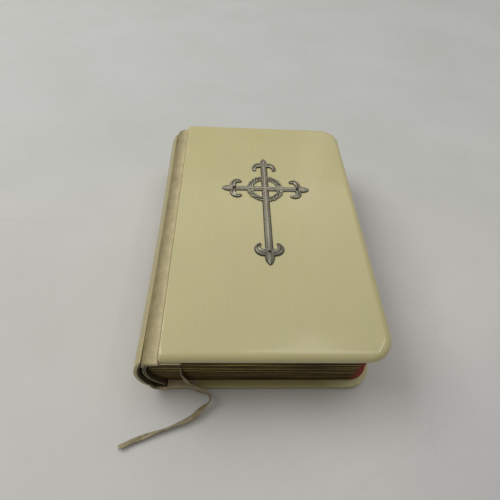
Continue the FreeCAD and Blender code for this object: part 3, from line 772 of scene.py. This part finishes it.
def make_spine():
    """The celluloid plate, its upper edge lapping the joint leather, and the leather inside it."""
    angle = math.degrees(math.asin(SPINE_HALF / SPINE_RADIUS))
    centre = (SPINE_RADIUS - SPINE_BULGE, THICK / 2)
    low, high = book_box("spine_plate")
    shell = arc_profile(SPINE_RADIUS, PLATE_INSIDE, *centre, -angle, angle + 3.3, thinned=0.55, pared=0.5)
    plate = sweep("spine_plate_shell", shell, low.y - 0.5, high.y - 1.8, [SPINE_CELLULOID], 40)
    draw_in(plate, low.y, high.y)
    bevel(sharpen(plate), 0.38, 3)
    ride_slot(plate, "spine", "spine_plate")
    low, high = book_box("spine_leather")
    lining = arc_profile(PLATE_INSIDE, LINING_INSIDE, *centre, -angle, angle - 4)
    leather = sharpen(sweep("spine_leather_lining", lining, low.y, high.y - 0.9, [SUEDE], 40))
    draw_in(leather, low.y, high.y)
    ride_slot(leather, "spine", "spine_leather")


make_spine()


def quadratic(points, steps):
    """A smooth run through three points: start, pull, end."""
    a, b, c = (Vector(p) for p in points)
    run = []
    for k in range(steps + 1):
        t = k / steps
        run.append(tuple(a * (1 - t) ** 2 + b * 2 * t * (1 - t) + c * t * t))
    return run


def strip_profile(middle_line, thickness, doubled):
    """A strip about a line of (x, z), thicker on its inner side, by an amount, towards the line's end."""
    left, right = [], []
    doubled_from, doubled_over = -4.3, 1.6
    for i, point in enumerate(middle_line):
        a = Vector(middle_line[max(i - 1, 0)])
        b = Vector(middle_line[min(i + 1, len(middle_line) - 1)])
        along = (b - a).normalized()
        side = Vector((-along.y, along.x)) * thickness / 2
        share = min(1.0, max(0.0, (point[0] - doubled_from) / doubled_over))
        left.append(tuple(Vector(point) + side))
        right.append((point[0] - side.x, point[1] - side.y - doubled * share))
    return left + right[::-1]


def make_joint_leather(node, on_top):
    """The leather from the spine plate's edge up to the board, with a slight pucker along it.

    Its inner side is dark, with a pale hem at each end. The front one hangs a little at its tail, and its
    head slopes back towards the plate.
    """
    outset = 0.0 if on_top else 0.35
    run = quadratic([(-4.75 - outset, THICK - 4.3 - outset / 2), (-4.45 - outset, THICK - 1.9 + outset / 2),
                     (-2.3, THICK - 1.75)], 10)
    run += [(-1.6, THICK - 1.70), (-0.9, THICK - 1.66), (-0.4, THICK - 1.60), (-0.02, THICK - 1.50)]
    profile = strip_profile(run, 0.78, 0.75 if on_top else 0.3)
    if not on_top:
        profile = [(x, THICK - z) for x, z in profile]
    low, high = book_box(node)
    tail = low.y - 1.2 if on_top else low.y - 0.2
    steps = 180
    strip = sweep(f"{node}_strip", profile, tail, high.y, [JOINT_LEATHER, SUEDE], steps)
    faces = (len(strip.data.polygons) - 2) // steps
    for number, polygon in enumerate(strip.data.polygons):
        step, around = divmod(number, faces)
        if 1 <= step < steps - 1 and around >= faces // 2:
            polygon.material_index = 1
    tail_edge, head_edge = at(0, tail, 0).y, at(0, high.y, 0).y
    pucker, hang, slope = 0.10, 0.25, 0.10
    hung_over, sloped_over = 2.6, 10
    for vert in strip.data.vertices:
        place = vert.co / MM
        pull = noise.noise(Vector((place.x * 0.35, place.y * 0.11, place.z * 0.35)))
        vert.co.z += pucker * MM * pull * (1 if on_top else -1)
        if on_top:
            vert.co.z -= hang * max(0.0, hung_over * MM - (vert.co.y - tail_edge))
            sideways = max(0.0, (at(-1.0, 0, 0).x - vert.co.x) / MM)
            share = max(0.0, 1 - (head_edge - vert.co.y) / (sloped_over * MM))
            vert.co.y -= slope * MM * sideways ** 2 * share
    bevel(sharpen(strip, 50), 0.16, 2)
    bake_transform(strip)
    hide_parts(node)


make_joint_leather("front_joint_leather", True)
make_joint_leather("back_joint_leather", False)

LINER_RADIUS = 12.62


def make_liner():
    """The leather round the block's back, in an outer and an inner ply."""
    low, high = book_box("liner_lower")
    seam, top = (corner.z for corner in book_box("liner_upper"))

    def angle_at(z):
        return math.degrees(math.asin((z - BACK_Z) / LINER_RADIUS))

    first, last = angle_at(low.z + 0.1), angle_at(top - 0.1)
    outer_ply = arc_profile(13.05, 12.72, BACK_X, BACK_Z, first, last, 40)
    inner_ply = arc_profile(12.42, 12.15, BACK_X, BACK_Z, first, last, 40)
    liner = sweep("spine_liner", outer_ply, low.y, high.y, [LINER], 60)
    join(liner, sweep("spine_liner_ply", inner_ply, low.y, high.y, [LINER], 60))
    centre = at(BACK_X, 0, BACK_Z)
    liner.data.materials.append(SUEDE)
    for polygon in liner.data.polygons:
        inward = Vector((centre.x - polygon.center.x, 0, centre.z - polygon.center.z)).normalized()
        polygon.material_index = 1 if polygon.normal.dot(inward) > 0.5 else 0
    sharpen(liner, 50)
    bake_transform(liner)
    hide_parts("liner_lower", "liner_upper")


make_liner()


def make_flap(node, body, overrun, slant):
    """A wing of the liner glued inside a board, with slanted ends."""
    low, high = book_box(node)
    run = slant + 1.3
    tail, head = low.y + overrun, high.y - overrun
    outline = [(low.x, tail), (high.x - slant, tail), (high.x, tail + run), (high.x, head - run),
               (high.x - slant, head), (low.x, head)]
    rings = [[(x, y, z) for x, y in outline] for z in (low.z, high.z)]
    flap = loft(f"{node}_leather", rings, [FLAP_LEATHER])
    bevel(sharpen(flap), 0.12, 2)
    ride_slot(flap, body, node)


make_flap("front_hinge_flap", "front_cover", -0.8, 4.3)
make_flap("back_hinge_flap", "back_cover", 0.5, 1.3)

# ---------------------------------------- cross


def mirrored(section):
    """The other half of a section, in order."""
    return [(-u, v) for u, v in section[::-1]]


# Cross sections: across in half widths, up in heights.
BAR_HALF = [(0.18, 1.0), (0.28, 0.92), (0.36, 0.66), (0.72, 0.60), (0.82, 0.50), (0.88, 0.20), (1.04, 0.10),
            (1.06, 0.0)]
BAR_SECTION = mirrored(BAR_HALF) + BAR_HALF
LEAF_HALF = [(0.38, 0.82), (0.60, 0.64), (0.80, 0.80), (0.95, 0.60), (0.97, 0.12), (1.10, 0.08), (1.12, 0.0)]
LEAF_SECTION = mirrored(LEAF_HALF) + [(0.0, 1.0)] + LEAF_HALF
HOOK_SECTION = [(-1.14, 0.0), (-1.12, 0.08), (-0.96, 0.12), (-0.92, 0.62), (-0.72, 0.86), (-0.42, 0.88),
                (-0.22, 0.52), (0.04, 0.56), (0.26, 0.90), (0.56, 1.0), (0.84, 0.84), (0.95, 0.60),
                (0.97, 0.12), (1.12, 0.08), (1.14, 0.0)]


def on_cross(x, y, z):
    """A place from the middle of the cross, in millimetres, on the front board's face."""
    return at(CROSS.x + x, CROSS.y + y, CROSS.z + z)


def smooth_line(controls, count):
    """Values evenly spaced along a smooth run through the controls."""
    padded = [controls[0]] + list(controls) + [controls[-1]]
    run = []
    for k in range(count):
        place = k / (count - 1) * (len(controls) - 1)
        span = min(int(place), len(controls) - 2)
        t = place - span
        p0, p1, p2, p3 = (Vector(p) for p in padded[span:span + 4])
        run.append(0.5 * (2 * p1 + (p2 - p0) * t + (2 * p0 - 5 * p1 + 4 * p2 - p3) * t * t
                          + (3 * p1 - p0 - 3 * p2 + p3) * t ** 3))
    return run


def relief(name, strips):
    """Raised strips in one mesh. Each is a section and a line of (x, y, half width, height)."""
    verts, faces = [], []
    for section, line in strips:
        faces += skin_faces(len(verts), len(line), len(section))
        for i, (x, y, half, tall) in enumerate(line):
            before, after = line[max(i - 1, 0)], line[min(i + 1, len(line) - 1)]
            along = Vector((after[0] - before[0], after[1] - before[1])).normalized()
            for u, v in section:
                verts.append(on_cross(x - along.y * half * u, y + along.x * half * u, tall * v))
    return make_object(name, verts, faces, [SILVER])


def bar(start, end, along, half_start, half_end, tall):
    """A straight bar between two places along a direction."""
    steps = 40
    line = []
    for k in range(steps + 1):
        s = start + (end - start) * k / steps
        half = half_start + (half_end - half_start) * k / steps
        line.append((along[0] * s, along[1] * s, half, tall))
    return BAR_SECTION, line


def rounded_end(fraction, start, end):
    """Narrows a strip to a round end over the last part of its length, and to a start likewise."""
    near_end = min(1.0, (1 - fraction) / end)
    near_start = min(1.0, fraction / start) if start else 1.0
    return math.sqrt(1 - (1 - near_end) ** 2) * math.sqrt(1 - (1 - near_start) ** 2)


def flower(root, out, leaf, hook):
    """A leaf tip and two curled hooks at the end of an arm, from places along and across it."""
    out = Vector(out)
    side = Vector((-out.y, out.x))

    def strip(section, controls, hand, count, start, end):
        line = []
        for k, (along, across, half, tall) in enumerate(smooth_line(controls, count)):
            place = Vector(root) + out * along + side * across * hand
            round_off = max(0.05, rounded_end(k / (count - 1), start, end))
            line.append((place.x, place.y, half * round_off, tall * (0.55 + 0.45 * round_off)))
        return section, line

    return [strip(LEAF_SECTION, leaf, 1, 26, 0.0, 0.10), strip(HOOK_SECTION, hook, 1, 34, 0.10, 0.09),
            strip(mirrored(HOOK_SECTION)[::-1], hook, -1, 34, 0.10, 0.09)]


# Controls along and across an arm, then half width and height.
SIDE_HOOK = [(-0.1, 0.4, 1.00, 0.66), (0.40, 1.5, 1.05, 0.74), (0.42, 2.7, 1.08, 0.80),
             (-0.10, 3.75, 1.05, 0.84), (-1.05, 4.30, 0.98, 0.82), (-2.1, 4.15, 0.84, 0.76),
             (-2.7, 3.50, 0.66, 0.68)]
SIDE_LEAF = [(-0.6, 0.0, 0.85, 0.70), (0.6, 0.0, 1.20, 0.76), (1.9, 0.0, 1.55, 0.80), (3.2, 0.0, 1.40, 0.72),
             (4.2, 0.0, 0.92, 0.60), (4.9, 0.0, 0.22, 0.46)]
HEAD_HOOK = [(-0.7, 0.4, 1.15, 0.68), (-0.35, 1.6, 1.25, 0.76), (-0.50, 2.7, 1.22, 0.84),
             (-1.20, 3.65, 1.05, 0.86), (-2.3, 4.15, 0.82, 0.80), (-3.3, 4.05, 0.70, 0.72),
             (-3.8, 3.45, 0.55, 0.64)]
HEAD_LEAF = [(-1.0, 0.0, 1.35, 0.70), (0.4, 0.0, 1.40, 0.78), (1.6, 0.0, 1.28, 0.78), (2.8, 0.0, 0.95, 0.68),
             (3.9, 0.0, 0.22, 0.46)]
FOOT_HOOK = [(0.7, 0.6, 1.20, 0.64), (0.62, 1.8, 1.38, 0.76), (0.15, 3.05, 1.42, 0.86),
             (-0.75, 3.9, 1.25, 0.88), (-1.9, 4.10, 0.98, 0.82), (-3.0, 3.50, 0.62, 0.72),
             (-3.6, 2.85, 0.28, 0.58)]
FOOT_LEAF = [(-1.2, 0.0, 1.60, 0.74), (0.4, 0.0, 1.48, 0.78), (1.9, 0.0, 1.62, 0.82), (3.4, 0.0, 1.48, 0.80),
             (4.7, 0.0, 1.05, 0.72), (5.5, 0.0, 0.55, 0.60), (5.95, 0.0, 0.16, 0.46)]
RING_RADIUS = 6.12
THORNS, THORN_SIDES = 20, 6


def make_cross():
    """Two bars with a flower at each of their four ends."""
    strips = [bar(-32.6, 15.2, (0, 1), 1.40, 1.30, 0.90), bar(-12.9, 13.3, (1, 0), 1.28, 1.28, 0.86)]
    strips += flower((0, 14.9), (0, 1), HEAD_LEAF, HEAD_HOOK)
    strips += flower((0, -32.3), (0, -1), FOOT_LEAF, FOOT_HOOK)
    strips += flower((-12.5, 0), (-1, 0), SIDE_LEAF, SIDE_HOOK)
    strips += flower((12.9, 0), (1, 0), SIDE_LEAF, SIDE_HOOK)
    ride_slot(sharpen(relief("cross_relief", strips), 50), "front_cover", "cross")


def add_cone(faces, last_ring, sides, first_ring):
    """Joins the last ring to the point numbered after it, and closes the first ring."""
    for s in range(sides):
        faces.append((last_ring + s, last_ring + (s + 1) % sides, last_ring + sides))
    faces.append(tuple(range(first_ring + sides - 1, first_ring - 1, -1)))


def make_thorn_ring():
    """Thorny stems plaited round each other in a ring, passing under the bars."""
    stems, turns, sides, steps = 4, 6, 8, 320
    bed = ((4.95, 0.0), (5.0, 0.22), (7.2, 0.22), (7.3, 0.0))
    verts = []
    for k in range(steps):
        a = 2 * math.pi * k / steps
        for r, z in bed:
            verts.append(on_cross(r * math.cos(a), r * math.sin(a), z))
    faces = ring_faces(0, steps, len(bed), closed=True)
    for stem in range(stems):
        faces += ring_faces(len(verts), steps, sides, closed=True)
        for k in range(steps):
            a = 2 * math.pi * k / steps
            wander = noise.noise(Vector((math.cos(a) * 2.3, math.sin(a) * 2.3, stem * 5.0)))
            twist = turns * a + 2 * math.pi * stem / stems + wander * 0.9
            radius = RING_RADIUS + 0.90 * math.cos(twist)
            lift = 0.30 + 0.24 * math.sin(twist)
            thick = 0.31 + 0.14 * noise.noise(Vector((math.cos(a) * 6, math.sin(a) * 6, stem * 9.0)))
            for s in range(sides):
                b = 2 * math.pi * s / sides
                r = radius + thick * math.cos(b)
                verts.append(on_cross(r * math.cos(a), r * math.sin(a), max(0.0, lift + thick * math.sin(b))))
    thorn_chance = random.Random(3)
    root_half, root_middle, root_rise, tip_level = 0.42, 0.36, 0.30, 0.26
    for k in range(THORNS):
        a = 2 * math.pi * (k + 0.5 + thorn_chance.uniform(-0.3, 0.3)) / THORNS
        outward = -1 if k % 4 == 1 else 1
        lean = thorn_chance.choice((-1, 1)) * 0.10
        root_r = RING_RADIUS + outward * 0.85
        tip_r = RING_RADIUS + outward * (1.75 if outward > 0 else 1.55)
        base = len(verts)
        for s in range(THORN_SIDES):
            b = 2 * math.pi * s / THORN_SIDES
            verts.append(on_cross(root_r * math.cos(a) - root_half * math.cos(b) * math.sin(a),
                                  root_r * math.sin(a) + root_half * math.cos(b) * math.cos(a),
                                  root_middle + root_rise * math.sin(b)))
        verts.append(on_cross(tip_r * math.cos(a + lean), tip_r * math.sin(a + lean), tip_level))
        add_cone(faces, base, THORN_SIDES, base)
    ring = make_object("thorn_crown", verts, faces, [RING_SILVER])
    ride_slot(ring, "front_cover", "thorn_ring")


def make_pins():
    """Domed pin heads at the roots of the flowered ends."""
    verts, faces = [], []
    rows, sides = 5, 14
    foot, dome = 0.72, 0.36
    for x, y, wide in ((-12.4, 0.0, 0.75), (12.9, 0.0, 0.75), (0.0, -32.7, 0.55), (0.0, 14.2, 0.36)):
        base = len(verts)
        for k in range(rows):
            tilt = math.pi / 2 * k / rows
            for s in range(sides):
                b = 2 * math.pi * s / sides
                r = wide * math.cos(tilt)
                verts.append(on_cross(x + r * math.cos(b), y + r * math.sin(b), foot + dome * math.sin(tilt)))
        verts.append(on_cross(x, y, foot + dome))
        faces += ring_faces(base, rows, sides)
        add_cone(faces, base + (rows - 1) * sides, sides, base)
    pins = make_object("pin_heads", verts, faces, [PIN_STEEL])
    ride_slot(pins, "front_cover", "cross_pins")


make_cross()
make_thorn_ring()
make_pins()

# ---------------------------------------- carried-over nodes

for node, material in (("tapes_lower", TAPE), ("tapes_upper", TAPE), ("thread_lower", THREAD),
                       ("thread_upper", THREAD), ("ribbon_marker", SILK)):
    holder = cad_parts[node]
    holder.data.materials.clear()
    holder.data.materials.append(material)

# ---------------------------------------- floor and light


def make_floor():
    """A flat sheet of paper for the book to lie on."""
    size = 1.6
    corners = [(-size, -size, 0), (size, -size, 0), (size, size, 0), (-size, size, 0)]
    floor = make_object("floor", corners, [(0, 1, 2, 3)], [floor_material()], smooth=False)


def make_light(name, place, aim, size, power, colour):
    data = bpy.data.lights.new(name, "AREA")
    data.shape = "RECTANGLE"
    data.size, data.size_y = size
    data.energy = power
    data.color = colour
    lamp = bpy.data.objects.new(name, data)
    lamp.location = place
    direction = Vector(aim) - Vector(place)
    lamp.rotation_euler = direction.to_track_quat("-Z", "Y").to_euler()
    bpy.context.scene.collection.objects.link(lamp)


def make_world():
    world = bpy.data.worlds.new("studio")
    world.use_nodes = True
    background = world.node_tree.nodes["Background"].inputs
    background["Color"].default_value = (1.0, 0.97, 0.88, 1)
    background["Strength"].default_value = 0.24
    bpy.context.scene.world = world
    bpy.context.scene.view_settings.view_transform = "Standard"


make_floor()
make_world()
make_light("window", (-0.62, 0.18, 0.74), (0.0, 0.02, 0.0), (0.62, 0.50), 4.0, (1.0, 0.995, 0.96))
make_light("ceiling", (0.24, 0.16, 1.00), (0.0, 0.0, 0.0), (0.40, 0.30), 0.55, (0.98, 0.99, 1.0))
make_light("ceiling_end", (0.60, 0.05, 0.95), (0.0, 0.0, 0.0), (0.66, 0.035), 0.55, (0.98, 0.99, 1.0))
make_light("overhead", (0.0, 0.55, 1.6), (0.0, 0.0, 0.0), (2.0, 2.0), 8.0, (1.0, 1.0, 0.99))
make_light("far_window", (0.34, 1.20, 0.92), (0.0, 0.05, 0.0), (0.10, 0.45), 0.05, (0.95, 0.97, 1.0))

bpy.context.view_layer.update()
